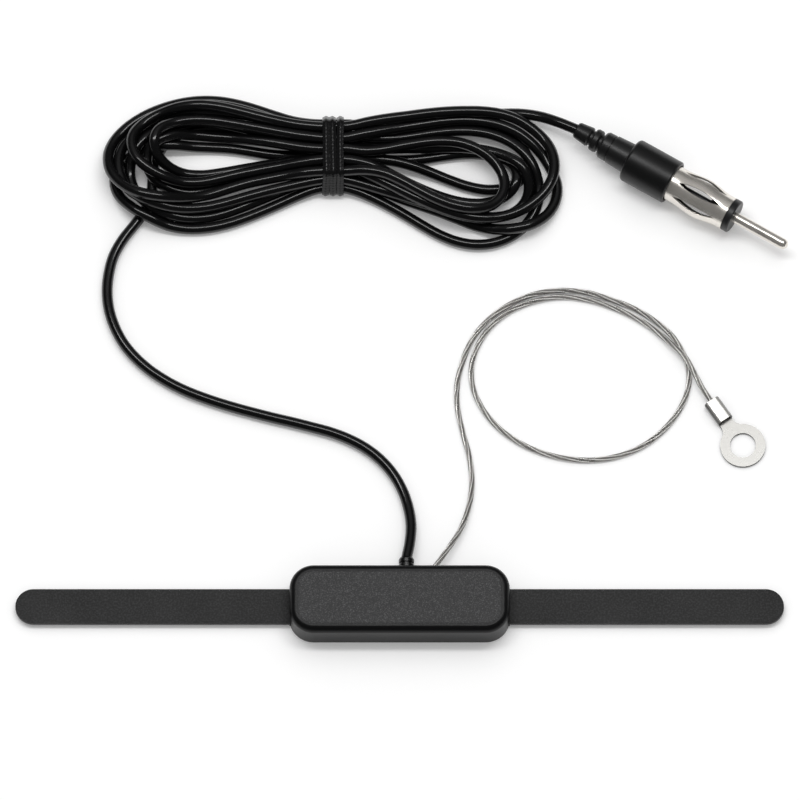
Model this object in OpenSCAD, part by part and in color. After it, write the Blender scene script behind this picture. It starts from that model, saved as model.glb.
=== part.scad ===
// Hidden car antenna: an amplifier box between two stick-on strips, with a coiled coaxial lead that
// ends in a car radio aerial plug, and an earth wire that ends in a ring terminal.
// Frame: origin under the middle of the box, X along the strips, Y towards the leads, Z up.

/* [Amplifier housing] */
// Length of the housing along the strips
house_l = 61.2; // [58:0.2:70]
// Width of the housing across the strips
house_w = 20; // [19:0.2:24]
// Height of the housing's top face above the surface it is stuck to
house_h = 9.8; // [9.4:0.1:12]
// Corner radius of the housing seen from above
corner_r = 6.8; // [5:0.1:7.5]
// Rounding radius along the top edge
edge_r = 2; // [1:0.1:2.4]
// Wall thickness of the cover
wall = 1.4; // [1.2:0.1:1.6]

/* [Antenna strips] */
// Distance between the two strip tips
span = 213.5; // [190:0.5:260]
// Width of a strip
strip_w = 10.2; // [9:0.1:10.6]
// Thickness of a strip
strip_t = 1; // [0.8:0.1:1]
// Thickness of the foam tape under a strip
foam_t = 1.2; // [1.2:0.1:1.3]
// Width of the foil that is sealed in a strip
foil_w = 6; // [4:0.1:7]

/* [Coaxial lead] */
// Outer diameter of the coaxial cable
coax_d = 3.05; // [2.8:0.05:3.1]
// Height of the tied hank
hank_h = 10.5; // [7:0.5:12]
// Half width of the hank where it is tied
waist_half = 10.3; // [8:0.1:11]
// Thickness of the twist tie
tie_t = 0.9; // [0.6:0.1:1.2]

/* [Aerial plug] */
// Length of the flexible boot behind the sleeve
boot_l = 17.1; // [14:0.1:20]
// Length of the plastic sleeve
sleeve_l = 13.9; // [11:0.1:16]
// Outer diameter of the plastic sleeve
sleeve_d = 12.6; // [12:0.1:13]
// Length of the slotted barrel that stands out of the sleeve
barrel_l = 18; // [17:0.1:20]
// Outer diameter of the barrel at the sleeve
barrel_d = 10.2; // [9.8:0.1:11]
// Outer diameter of the barrel over its bulge
bulge_d = 11.5; // [11.2:0.1:12]
// Outer diameter of the barrel's front end
front_d = 9.6; // [9.4:0.1:10]
// Number of slots that make the barrel springy
slot_n = 7; // [4:1:10]
// Diameter of the centre pin
pin_d = 3.1; // [2.8:0.1:3.4]
// Length of the centre pin in front of the insulator
pin_l = 16.9; // [14:0.1:18]

/* [Earth wire and terminal] */
// Outer diameter of the stranded earth wire
wire_d = 1.5; // [1.2:0.1:1.5]
// Outer diameter of the ring
ring_d = 12.6; // [11:0.1:14]
// Hole diameter of the ring
ring_hole_d = 7.2; // [6.4:0.1:7.4]
// Thickness of the terminal's sheet
sheet_t = 0.9; // [0.7:0.1:1]

/* [Hidden] */
$fn = 64;
small_fn = 32;

// Heights in the housing, all above the surface it is stuck to
base_z = 0.4;
base_top = foam_t;
strip_top = foam_t + strip_t;
foil_t = 0.2;
foil_z = foam_t + strip_t / 2 - foil_t / 2;
board_z = foil_z + foil_t;
board_t = 1;
board_top = board_z + board_t;
ceiling_z = house_h - 1.6;

// Outlines in the housing
inner_l = house_l - 2 * wall;
inner_w = house_w - 2 * wall;
inner_r = corner_r - wall;
base_gap = 0.1;
board_l = 44;
board_w = 14;
boss_x = 25;
boss_y = 7;
boss_r = 1.6;
peg_r = 0.8;
peg_h = 2;
post_x = 16;
post_y = 5.6;
lip_l = 36;
lip_h = 1.3;
notch_w = strip_w + 0.4;
notch_gap = 0.1;

// Antenna strips
strip_in = 23;
tip_x = span / 2;
foil_in = 17.5;
foil_end = tip_x - 7;
pad_in = house_l / 2 + 1;
pad_inset = 0.5;
eyelet_x = 19.9;
eyelet_r = 0.8;
flange_r = 1.6;
flange_t = 0.3;

// Cable exits in the back wall
coax_r = coax_d / 2;
coax_x = 1.9;
coax_z = board_top + coax_r;
collar_y = house_w / 2 + 3.4;
wire_r = wire_d / 2;
wire_x = 9;
wire_z = board_top + wire_r;

// Aerial plug: distances run forwards from the back of the boot
plug_at = [49.2, 139.4, sleeve_d / 2];
plug_turn = -30.5;
seat_u = boot_l + 1.4;
ferrule_u = seat_u + 9;
sleeve_end = boot_l + sleeve_l;
barrel_end = sleeve_end + barrel_l;
bulge_u = sleeve_end + 9.2;
bulge_half = 7.2;
barrel_t = 0.6;
ferrule_r = 4.3;
slot_l = 13.4;
slot_w = 2.1;
slot_u = sleeve_end + 8.8;
slot_turn = 188;
insul_end = barrel_end + 2;
spigot_u = barrel_end - 2.4;
pin_end = insul_end + pin_l;
pin_back = barrel_end - 6;
shank_r = 1.3;
collar_r = 2.6;
collar_t = 1.5;
core_r = 0.45;
core_end = pin_end - 2.5;

// Ring terminal: distances run forwards from the back of its crimp
terminal_at = [86.6, 60.8, 0];
terminal_turn = -55.5;
crimp_l = 6.9;
crimp_w = 4.5;
crimp_h = 3;
ring_u = 15.4;
neck_half = 2;
fillet_r = 3;

// Tied hank: the two lobes that its loops fill, and the tie between them
left_lobe = [-62.3, 131.5];
left_lobe_r = 19.8;
right_lobe = [24, 127.4];
right_lobe_r = 20.8;
tie_x = -18.5;
tie_y = 132.4;
tie_l = 5.9;
nose_w = 4;
nose_l = 7;
lead_port = [-74, 112.6, coax_r];
lead_turn = 52;
tail_port = [35.2, 144.9, 3.6];
tail_turn = -14;

// Route of the coaxial lead from the grommet to the hank
lead_route = [
    [coax_x, collar_y, coax_z], [2.7, 17.5, 3.8], [3.2, 23, 2.6], [2.6, 28.5, 1.8], [0.8, 34.5, 1.53],
    [-2.7, 40.6, 1.53], [-8.2, 46.1, 1.53], [-16, 50.5, 1.53], [-26.3, 53.7, 1.53], [-38, 56.7, 1.53],
    [-51.3, 60.7, 1.53], [-62, 65.2, 1.53], [-71, 71.4, 1.53], [-77.3, 79, 1.53], [-80.8, 88.5, 1.53],
    [-81, 97, 1.53], [-78.8, 105.4, 1.53], lead_port];

// Route of the coaxial tail from the hank to the back of the boot
tail_route = [tail_port, [39, 144, 4.2], [42, 142.8, 5.1], [44.8, 141.5, 5.8], plug_at];

// Route of the earth wire from the housing to the crimp, once round its loop
wire_route = [
    [wire_x, house_w / 2, wire_z], [12.6, 15.4, 3.2], [16.8, 22.5, 2.2], [19.2, 29.8, 1.4],
    [20.1, 37, 0.8], [19.4, 44.5, 0.75], [17.6, 51.8, 0.75], [16.1, 59, 0.75], [16, 66.2, 0.75],
    [17.4, 72.6, 0.75], [20.1, 79.3, 0.75], [24.6, 85.2, 0.75], [30.6, 89.8, 0.75], [37.4, 92.8, 0.75],
    [44.6, 93.9, 0.75], [51.8, 93.3, 0.75], [58.6, 91.2, 0.75], [65.2, 88.5, 0.75], [71.2, 84.6, 0.75],
    [76.2, 79.8, 0.75], [79.2, 74.2, 0.75], [80.4, 68.6, 0.75], [79.6, 63, 0.75], [77.2, 57.8, 0.75],
    [73.2, 52.6, 0.75], [67.6, 48, 0.75], [60.8, 45, 0.75], [53.8, 43.8, 0.75], [46.6, 44.2, 0.75],
    [39.4, 46, 0.75], [32.8, 49.2, 0.75], [27.2, 53.6, 0.75], [23, 59, 0.75], [20.4, 65.2, 0.75],
    [20, 71.6, 0.75], [21.8, 77.8, 0.75], [25.6, 83.6, 0.75], [31, 88, 0.75], [37.6, 90.8, 0.75],
    [44.4, 92, 0.75], [51.6, 91.3, 0.75], [58.2, 89.3, 0.75], [64.6, 86.3, 0.75], [70.2, 82.6, 1.1],
    [74.9, 78.2, 1.9], [79, 74, 2.4], [82.3, 68, 2.3], [83.9, 64.8, 2.1],
    terminal_at + [0, 0, crimp_h / 2 + 0.2]];

// Vector helpers for the swept cords
function unit(v) = v / norm(v);
function heading(turn) = [cos(turn), sin(turn), 0];

// Direction of travel at point i, with the given directions at the two ends
function travel(route, i, first, last) =
    i == 0 ? first
    : i == len(route) - 1 ? last
    : unit(route[i + 1] - route[i - 1]);

// One ring of points round a route point, square to the direction of travel
function ring_points(centre, along, r, sides) =
    let (side = unit(cross([0, 0, 1], along)), up = cross(along, side))
    [for (k = [0:sides - 1]) centre + r * (cos(360 * k / sides) * side + sin(360 * k / sides) * up)];

// A cord swept along its route
module cord(route, d, first, last, sides = 8) {
    rings = [for (i = [0:len(route) - 1]) ring_points(route[i], travel(route, i, first, last), d / 2, sides)];
    points = [for (ring = rings) each ring];
    skin = [for (i = [0:len(route) - 2]) for (k = [0:sides - 1])
        let (a = i * sides + k, b = i * sides + (k + 1) % sides)
        each [[a, a + sides, b], [b, a + sides, b + sides]]];
    back = [for (k = [0:sides - 1]) k];
    front = [for (k = [0:sides - 1]) (len(route) - 1) * sides + sides - 1 - k];
    polyhedron(points, concat([back], skin, [front]));
}

module rounded_rect(l, w, r) {
    square([l - 2 * r, w], center = true);
    square([l, w - 2 * r], center = true);
    for (x = [-1, 1], y = [-1, 1]) translate([x * (l / 2 - r), y * (w / 2 - r)]) circle(r);
}

// A part drawn for the right-hand side, put on the left-hand side
module left() {
    mirror([1, 0, 0]) children();
}

// The housing's outer form: four revolved corners with a rounded top edge, drawn together
module housing_form() {
    corner_x = house_l / 2 - corner_r;
    corner_y = house_w / 2 - corner_r;
    hull()
        for (x = [-1, 1], y = [-1, 1]) translate([x * corner_x, y * corner_y, 0])
            rotate_extrude() {
                translate([0, base_z]) square([corner_r, house_h - edge_r - base_z]);
                translate([0, house_h - edge_r]) square([corner_r - edge_r, edge_r]);
                intersection() {
                    translate([corner_r - edge_r, house_h - edge_r]) circle(edge_r);
                    translate([corner_r - edge_r, house_h - edge_r]) square(edge_r);
                }
            }
}

module housing_cover() {
    color("#2b2b2d") {
        difference() {
            housing_form();
            translate([0, 0, base_z - 1]) linear_extrude(ceiling_z - base_z + 1)
                rounded_rect(inner_l, inner_w, inner_r);
            // Notches that the strips leave through
            for (x = [-1, 1]) translate([x * house_l / 2, 0, 0])
                cube([2 * wall + 1, notch_w, 2 * (strip_top + notch_gap)], center = true);
            // Holes for the grommet and the earth wire
            translate([coax_x, house_w / 2 + 1, coax_z]) rotate([90, 0, 0]) cylinder(h = 3, r = 1.95);
            translate([wire_x, house_w / 2 + 1, wire_z]) rotate([90, 0, 0]) cylinder(h = 3, r = wire_r, $fn = small_fn);
        }
        // Bosses that take the pegs of the base
        for (x = [-1, 1], y = [-1, 1]) translate([x * boss_x, y * boss_y, base_top]) difference() {
            cylinder(h = ceiling_z - base_top + 0.2, r = boss_r, $fn = small_fn);
            translate([0, 0, -1]) cylinder(h = peg_h + 1.4, r = peg_r, $fn = small_fn);
        }
        // Fingers that hold the board down
        for (x = [-1, 1], y = [-1, 1]) translate([x * post_x, y * post_y, board_top])
            translate([-0.5, -1, 0]) cube([1, 2, ceiling_z - board_top + 0.2]);
    }
}

module housing_base() {
    color("#232325") {
        translate([0, 0, base_z]) linear_extrude(base_top - base_z)
            rounded_rect(inner_l - 2 * base_gap, inner_w - 2 * base_gap, inner_r - base_gap);
        // Tongues that close the notches under the strips
        for (x = [-1, 1]) translate([x * (house_l / 2 - 1.2), 0, (base_z + base_top) / 2])
            cube([2.4, notch_w - 0.2, base_top - base_z], center = true);
        // Posts under the board
        for (x = [-1, 1], y = [-1, 1]) translate([x * post_x, y * post_y, base_z])
            cylinder(h = board_z - base_z, r = 1.1, $fn = small_fn);
        // Pegs pressed into the bosses of the cover
        for (x = [-1, 1], y = [-1, 1]) translate([x * boss_x, y * boss_y, base_z])
            cylinder(h = base_top - base_z + peg_h, r = peg_r - 0.02, $fn = small_fn);
        // Lips that line up the long walls of the cover
        for (y = [-1, 1]) translate([0, y * (inner_w / 2 - 0.5), base_z + lip_h / 2])
            cube([lip_l, 0.7, lip_h], center = true);
    }
}

module housing_tape() {
    color("#3a3a3a") linear_extrude(base_z) rounded_rect(inner_l - 8, inner_w - 4, 2);
}

// A flat strip from one X to another with a half-round outer end
module half_round_strip(from_x, to_x, w, t) {
    linear_extrude(t) {
        translate([from_x, -w / 2]) square([to_x - w / 2 - from_x, w]);
        translate([to_x - w / 2, 0]) circle(w / 2);
    }
}

module strip() {
    color("#1f1f20") difference() {
        translate([0, 0, foam_t]) half_round_strip(strip_in, tip_x, strip_w, strip_t);
        translate([0, 0, foil_z]) half_round_strip(strip_in - 1, foil_end, foil_w, foil_t);
    }
}

module foil() {
    color("#c8a060") difference() {
        translate([0, 0, foil_z]) half_round_strip(foil_in, foil_end, foil_w, foil_t);
        translate([eyelet_x, 0, foil_z - 1]) cylinder(h = 2, r = eyelet_r, $fn = small_fn);
    }
}

module strip_foam() {
    color("#3a3a3a") half_round_strip(pad_in, tip_x - pad_inset, strip_w - 2 * pad_inset, foam_t);
}

// A tubular rivet that clinches the foil to the board
module eyelet() {
    color("#b99a4a") translate([eyelet_x, 0, 0]) difference() {
        union() {
            translate([0, 0, foil_z - flange_t]) cylinder(h = flange_t, r = flange_r, $fn = small_fn);
            translate([0, 0, foil_z - flange_t]) cylinder(h = board_top - foil_z + 2 * flange_t, r = eyelet_r, $fn = small_fn);
            translate([0, 0, board_top]) cylinder(h = flange_t, r = flange_r, $fn = small_fn);
        }
        translate([0, 0, foil_z - 1]) cylinder(h = 4, r = eyelet_r - 0.25, $fn = small_fn);
    }
}

module circuit_board() {
    color("#2e6b45") translate([0, 0, board_z]) linear_extrude(board_t) difference() {
        square([board_l, board_w], center = true);
        for (x = [-1, 1]) translate([x * eyelet_x, 0]) circle(eyelet_r, $fn = small_fn);
    }
}

// A small moulded transistor lying on its flat, with its three legs cut short
module amplifier_transistor() {
    color("#2a2a2c") translate([-7, -3.4, board_top]) {
        rotate([90, 0, 0]) linear_extrude(3.6, center = true) intersection() {
            translate([0, 0.4]) circle(2.3, $fn = small_fn);
            translate([-2.3, 0]) square([4.6, 2.6]);
        }
        for (x = [-1.27, 0, 1.27]) translate([x - 0.2, 1.8, 0.4]) cube([0.4, 2, 0.4]);
    }
}

// A drum-core choke: the winding sits between the two flanges
module choke_coil() {
    color("#8a4a2a") translate([-13, 1.6, board_top]) rotate_extrude($fn = small_fn)
        polygon([[0, 0], [2.4, 0], [2.4, 0.7], [2, 0.9], [2, 3.3], [2.4, 3.5], [2.4, 4.2], [0, 4.2]]);
}

module supply_capacitor() {
    color("#3c4a78") translate([11.4, 0.2, board_top + 2]) rotate([0, 90, 0]) rotate_extrude($fn = small_fn)
        polygon([[0, 0], [1.9, 0], [2, 0.2], [2, 0.9], [1.8, 1.1], [2, 1.3], [2, 5.2], [1.8, 5.4], [0, 5.4]]);
}

// A disc capacitor standing on its two legs
module disc_capacitor(x, y) {
    color("#c98a3c") translate([x, y, board_top]) {
        translate([0, 0, 2.5]) rotate([90, 0, 0]) cylinder(h = 1.3, r = 1.9, center = true, $fn = small_fn);
        for (leg = [-1.2, 1.2]) translate([leg - 0.2, -0.2, 0]) cube([0.4, 0.4, 1.6]);
    }
}

// An axial resistor with bulbed ends, laid between its bent legs
module axial_resistor(x, y) {
    color("#c9b48a") translate([x, y, board_top]) {
        translate([-1.9, 0, 0.9]) rotate([0, 90, 0]) rotate_extrude($fn = small_fn)
            polygon([[0, 0], [0.75, 0], [0.9, 0.3], [0.9, 0.8], [0.7, 1.1], [0.7, 2.7], [0.9, 3], [0.9, 3.5], [0.75, 3.8], [0, 3.8]]);
        for (side = [-1, 1]) {
            translate([side * 2.3 - 0.5, -0.2, 0.7]) cube([1, 0.4, 0.4]);
            translate([side * 2.8 - 0.2, -0.2, 0]) cube([0.4, 0.4, 1.1]);
        }
    }
}

// A tinned strap bent over the cable and down to the board
module cable_clamp() {
    strap_t = 0.4;
    bore_r = coax_r + 0.03;
    color("#c9c9c4") translate([coax_x, 5.9, 0]) rotate([90, 0, 0]) linear_extrude(2) difference() {
        union() {
            translate([0, coax_z]) circle(bore_r + strap_t);
            translate([-bore_r - strap_t, board_top]) square([2 * (bore_r + strap_t), coax_z - board_top]);
            translate([-bore_r - 1.6, board_top]) square([2 * (bore_r + 1.6), strap_t]);
        }
        translate([0, coax_z]) circle(bore_r);
        translate([-bore_r, board_top - 1]) square([2 * bore_r, coax_z - board_top + 1]);
    }
}

// The stripped end of the cable in the housing: jacket, dielectric and core
module coax_entry() {
    color("#141414") translate([coax_x, 0, coax_z]) rotate([-90, 0, 0]) rotate_extrude()
        polygon([[0, -1.4], [0.4, -1.4], [0.4, 0.8], [0.95, 0.8], [0.95, 3], [coax_r, 3], [coax_r, collar_y], [0, collar_y]]);
}

// The tinned end of the earth wire in the housing
module wire_entry() {
    color("#b8b8b4") translate([wire_x, house_w / 2, wire_z]) rotate([90, 0, 0])
        cylinder(h = house_w / 2 - 3.6, r = wire_r, $fn = small_fn);
}

// The soft collar where the cable leaves: a flange inside, a neck in the wall and ribs outside
module cable_grommet() {
    in_y = house_w / 2 - wall;
    out_y = house_w / 2;
    color("#181818") translate([coax_x, 0, coax_z]) rotate([-90, 0, 0]) rotate_extrude()
        polygon([[coax_r, in_y - 0.9], [2.5, in_y - 0.9], [2.5, in_y], [1.95, in_y], [1.95, out_y], [2.2, out_y],
            [2.2, out_y + 1.3], [1.85, out_y + 1.5], [1.85, out_y + 1.8], [2.15, out_y + 2],
            [2.15, out_y + 2.9], [1.9, collar_y], [coax_r, collar_y]]);
}

module coax_lead() {
    color("#0c0c0c") cord(lead_route, coax_d, [0, 1, 0], heading(lead_turn));
}

module coax_tail() {
    color("#0c0c0c") cord(tail_route, coax_d, heading(tail_turn), heading(plug_turn));
}

module earth_wire() {
    color("#a8a8a2") cord(wire_route, wire_d, [0, 1, 0], heading(terminal_turn));
}

// A straight-ended nose that a cord meets, pointing back along the cord
module nose(port, turn) {
    translate([port[0], port[1], 0]) rotate(turn) translate([0, -nose_w / 2, 0]) cube([nose_l, nose_w, hank_h]);
}

// The form that the tied loops fill: two round lobes, drawn in to a waist between them
module hank_form() {
    waist_l = tie_l / 2 + 1;
    translate(left_lobe) cylinder(h = hank_h, r = left_lobe_r);
    translate(right_lobe) cylinder(h = hank_h, r = right_lobe_r);
    linear_extrude(hank_h)
        polygon([[-54, 148], [tie_x - waist_l, tie_y + waist_half], [tie_x + waist_l, tie_y + waist_half],
            [16.5, 145.8], [16.5, 109], [tie_x + waist_l, tie_y - waist_half],
            [tie_x - waist_l, tie_y - waist_half], [-54, 115]]);
    nose(lead_port, lead_turn);
    nose(tail_port, tail_turn + 180);
}

module coax_hank() {
    color("#101010") difference() {
        hank_form();
        // The belt that the tie sits in
        for (z = [tie_t / 2, hank_h - tie_t / 2]) translate([tie_x, tie_y, z])
            cube([tie_l, 3 * waist_half, tie_t], center = true);
        // Room for the tail beside the lobe that it leaves
        translate([tail_port[0], tail_port[1], -1]) rotate(tail_turn) translate([0, -nose_w / 2, 0])
            cube([nose_l, nose_w, hank_h + 2]);
    }
}

// One band of the tie, seen along the cables
module tie_band(l, t) {
    rotate([90, 0, 90]) linear_extrude(l, center = true) difference() {
        square([2 * (waist_half + t), hank_h - 2 * (tie_t - t)], center = true);
        square([2 * waist_half, hank_h - 2 * tie_t], center = true);
    }
}

// The twist tie: three turns of ribbon pulled tight round the cables, side by side
module hank_tie() {
    turn_l = tie_l / 3;
    seam = 0.3;
    color("#1c1c1c") translate([tie_x, tie_y, hank_h / 2]) {
        tie_band(tie_l, tie_t - seam);
        for (i = [-1:1]) translate([i * turn_l, 0, 0]) tie_band(turn_l - seam, tie_t);
    }
}

// Puts a form drawn up the Z axis onto the plug's axis, from the back of the boot forwards
module along_plug() {
    translate(plug_at) rotate([0, 90, plug_turn]) children();
}

// The flexible boot: two loose ribs, a collar and a neck that ends in the sleeve
module plug_boot() {
    color("#161616") along_plug() rotate_extrude()
        polygon([[coax_r, 0], [2.1, 0], [2.35, 0.4], [2.8, 4.1], [2.6, 4.5], [2.2, 4.6], [2.2, 5.2], [3, 5.4],
            [3.25, 5.8], [3.25, 7], [3, 7.4], [2.5, 7.5], [2.5, 8.1], [3.5, 8.3], [3.9, 8.9], [3.95, 11],
            [3.7, 11.1], [3.7, 11.4], [4.1, 11.5], [4.4, boot_l], [ferrule_r, boot_l], [ferrule_r, seat_u],
            [coax_r, seat_u]]);
}

module plug_sleeve() {
    sleeve_r = sleeve_d / 2;
    round_r = 1;
    mouth_r = barrel_d / 2 + 0.4;
    color("#1a1a1a") along_plug() rotate_extrude()
        polygon(concat([[ferrule_r, boot_l]],
            [for (a = [0:15:90]) [sleeve_r - round_r + round_r * sin(a), boot_l + round_r - round_r * cos(a)]],
            [[sleeve_r, sleeve_end - 0.3], [sleeve_r - 0.3, sleeve_end], [mouth_r, sleeve_end],
            [mouth_r, ferrule_u], [ferrule_r, ferrule_u]]));
}

// Outer radius of the barrel: a slight taper with a rounded bulge where the slots are
function barrel_r(u) =
    let (share = min(1, abs(u - bulge_u) / bulge_half), base_d = u < bulge_u ? barrel_d : front_d)
    base_d / 2 + (bulge_d - base_d) / 2 * (1 + cos(180 * share)) / 2;

// The springy barrel: a thin bulged tube with lens-shaped slots, on a narrower ferrule
module plug_barrel() {
    steps = 20;
    start_u = ferrule_u + 1;
    pitch = (barrel_end - start_u) / steps;
    stations = [for (i = [0:steps]) start_u + i * pitch];
    color("#cfc8bc") along_plug() difference() {
        rotate_extrude()
            polygon(concat([[ferrule_r, seat_u], [ferrule_r, ferrule_u]],
                [for (u = stations) [barrel_r(u), u]],
                [for (i = [steps:-1:0]) [barrel_r(stations[i]) - barrel_t, stations[i]]],
                [[ferrule_r - barrel_t, ferrule_u + 0.3], [ferrule_r - barrel_t, seat_u]]));
        for (i = [0:slot_n - 1]) rotate([0, 0, slot_turn + 360 * i / slot_n]) translate([0, 0, slot_u])
            rotate([0, 90, 0]) linear_extrude(bulge_d) slot_lens();
    }
}

// A slot's outline: the lens where two equal circles overlap
module slot_lens() {
    lens_r = (slot_l * slot_l + slot_w * slot_w) / (4 * slot_w);
    intersection_for (side = [-1, 1])
        translate([0, side * (lens_r - slot_w / 2)]) circle(lens_r, $fn = 128);
}

// The insulator: a disc on the barrel's end with a spigot inside it
module plug_insulator() {
    spigot_r = front_d / 2 - barrel_t - 0.05;
    color("#151515") along_plug() rotate_extrude()
        polygon([[shank_r, spigot_u], [spigot_r, spigot_u], [spigot_r, barrel_end],
            [front_d / 2 - 0.2, barrel_end], [front_d / 2, barrel_end + 0.2], [front_d / 2, insul_end - 0.3],
            [front_d / 2 - 0.3, insul_end], [shank_r, insul_end]]);
}

// The hollow centre pin: a round nose, a shank through the insulator and a collar behind it
module plug_pin() {
    pin_r = pin_d / 2;
    color("#cfc8bc") along_plug() rotate_extrude()
        polygon(concat([[core_r, pin_back], [shank_r, pin_back], [shank_r, spigot_u - collar_t],
            [collar_r, spigot_u - collar_t], [collar_r, spigot_u], [shank_r, spigot_u], [shank_r, insul_end],
            [pin_r, insul_end]],
            [for (a = [0:15:90]) [pin_r * cos(a), pin_end - pin_r + pin_r * sin(a)]],
            [[0, core_end], [core_r, core_end]]));
}

// The stripped end of the cable in the plug: jacket, dielectric, and the core soldered in the pin
module plug_cable_end() {
    color("#141414") along_plug() rotate_extrude()
        polygon([[0, 0], [coax_r, 0], [coax_r, seat_u + 1.5], [0.95, seat_u + 1.5], [0.95, pin_back],
            [core_r, pin_back], [core_r, core_end], [0, core_end]]);
}

// Puts a form drawn along X onto the terminal's axis, from the back of the crimp forwards
module along_terminal() {
    translate(terminal_at) rotate([0, 0, terminal_turn]) children();
}

// The crimp's section: a tube pressed flat, seen along the wire
module crimp_section(w, h, r) {
    translate([0, h / 2]) rounded_rect(w, h, r);
}

// The folded sheet terminal: a flat ring, a filleted neck and the crimp rolled up from it
module ring_terminal() {
    ring_r = ring_d / 2;
    reach = ring_r + fillet_r;
    side = neck_half + fillet_r;
    fillet_u = ring_u - sqrt(reach * reach - side * side);
    tangent_v = side * ring_r / reach;
    tangent_u = ring_u - (ring_u - fillet_u) * ring_r / reach;
    color("#d5d3cc") along_terminal() {
        linear_extrude(sheet_t) difference() {
            union() {
                translate([ring_u, 0]) circle(ring_r, $fn = 96);
                translate([crimp_l, -tangent_v]) square([tangent_u - crimp_l, 2 * tangent_v]);
            }
            translate([ring_u, 0]) circle(ring_hole_d / 2, $fn = 96);
            for (v = [-1, 1]) translate([fillet_u, v * side]) circle(fillet_r);
        }
        rotate([90, 0, 90]) linear_extrude(crimp_l) difference() {
            crimp_section(crimp_w, crimp_h, 1.1);
            translate([0, sheet_t]) crimp_section(crimp_w - 2 * sheet_t + 0.2, crimp_h - sheet_t - 0.6, 0.6);
        }
    }
}

// The end of the earth wire, pressed flat in the crimp
module crimped_strands() {
    color("#a8a8a2") along_terminal() translate([0, 0, sheet_t]) rotate([90, 0, 90]) linear_extrude(crimp_l - 0.4)
        crimp_section(crimp_w - 2 * sheet_t + 0.2, crimp_h - sheet_t - 0.6, 0.6);
}

housing_cover();
housing_base();
housing_tape();
left() strip();  // strip_left
strip();  // strip_right
left() foil();  // foil_left
foil();  // foil_right
left() strip_foam();  // strip_foam_left
strip_foam();  // strip_foam_right
left() eyelet();  // eyelet_left
eyelet();  // eyelet_right
circuit_board();
amplifier_transistor();
choke_coil();
supply_capacitor();
disc_capacitor(-13, -4.4);  // input_capacitor
disc_capacitor(3.4, -4.6);  // output_capacitor
axial_resistor(11.5, -3.6);  // bias_resistor
axial_resistor(-6, 3.6);  // feed_resistor
cable_clamp();
coax_entry();
wire_entry();
cable_grommet();
coax_lead();
coax_hank();
hank_tie();
coax_tail();
plug_boot();
plug_sleeve();
plug_barrel();
plug_insulator();
plug_pin();
plug_cable_end();
earth_wire();
ring_terminal();
crimped_strands();
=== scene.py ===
"""Looks of the hidden car antenna: cords, tie, finishes and the studio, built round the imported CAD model."""

import math

import bpy
import numpy as np
from mathutils import Euler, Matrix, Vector


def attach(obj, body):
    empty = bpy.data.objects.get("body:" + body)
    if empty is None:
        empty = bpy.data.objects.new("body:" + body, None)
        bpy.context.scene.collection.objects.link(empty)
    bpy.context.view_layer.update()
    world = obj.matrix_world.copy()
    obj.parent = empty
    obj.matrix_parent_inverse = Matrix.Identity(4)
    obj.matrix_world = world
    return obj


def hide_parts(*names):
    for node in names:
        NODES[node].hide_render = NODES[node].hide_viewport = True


bl_info = {
    "name": "Hidden Car Antenna",
    "version": (1, 0, 0),
    "blender": (4, 2, 0),
    "location": "3D View > Sidebar > Antenna",
    "description": "Lays the cords of a stick-on car antenna and finishes its parts",
    "category": "Object",
}

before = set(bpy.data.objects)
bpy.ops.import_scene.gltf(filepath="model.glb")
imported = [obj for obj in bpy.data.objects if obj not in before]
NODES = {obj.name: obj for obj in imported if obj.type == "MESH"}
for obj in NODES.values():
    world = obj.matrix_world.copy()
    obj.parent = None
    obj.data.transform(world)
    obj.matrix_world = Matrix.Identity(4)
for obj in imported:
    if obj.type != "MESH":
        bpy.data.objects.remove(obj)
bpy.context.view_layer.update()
MM = 0.001

# Route of the coaxial lead from the grommet to the hank, in mm, as in the CAD source
LEAD_ROUTE = [
    (1.9, 13.4, 4.325), (2.7, 17.5, 3.8), (3.2, 23, 2.6), (2.6, 28.5, 1.8), (0.8, 34.5, 1.53),
    (-2.7, 40.6, 1.53), (-8.2, 46.1, 1.53), (-16, 50.5, 1.53), (-26.3, 53.7, 1.53), (-38, 56.7, 1.53),
    (-51.3, 60.7, 1.53), (-62, 65.2, 1.53), (-71, 71.4, 1.53), (-77.3, 79, 1.53), (-80.8, 88.5, 1.53),
    (-81, 97, 1.53), (-78.8, 105.4, 1.53), (-74, 112.6, 1.525)]
# Route of the tail from the hank to the back of the boot, in mm
TAIL_ROUTE = [(35.2, 144.9, 3.6), (39, 144, 4.2), (42, 142.8, 5.1), (44.8, 141.5, 5.8), (49.2, 139.4, 6.3)]
# Plan and height of the last lane before the tail
TAIL_LANE = [(-6, 141, 7.8), (5, 143, 7.8), (18, 145, 7.8), (28, 145.7, 5)]
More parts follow.
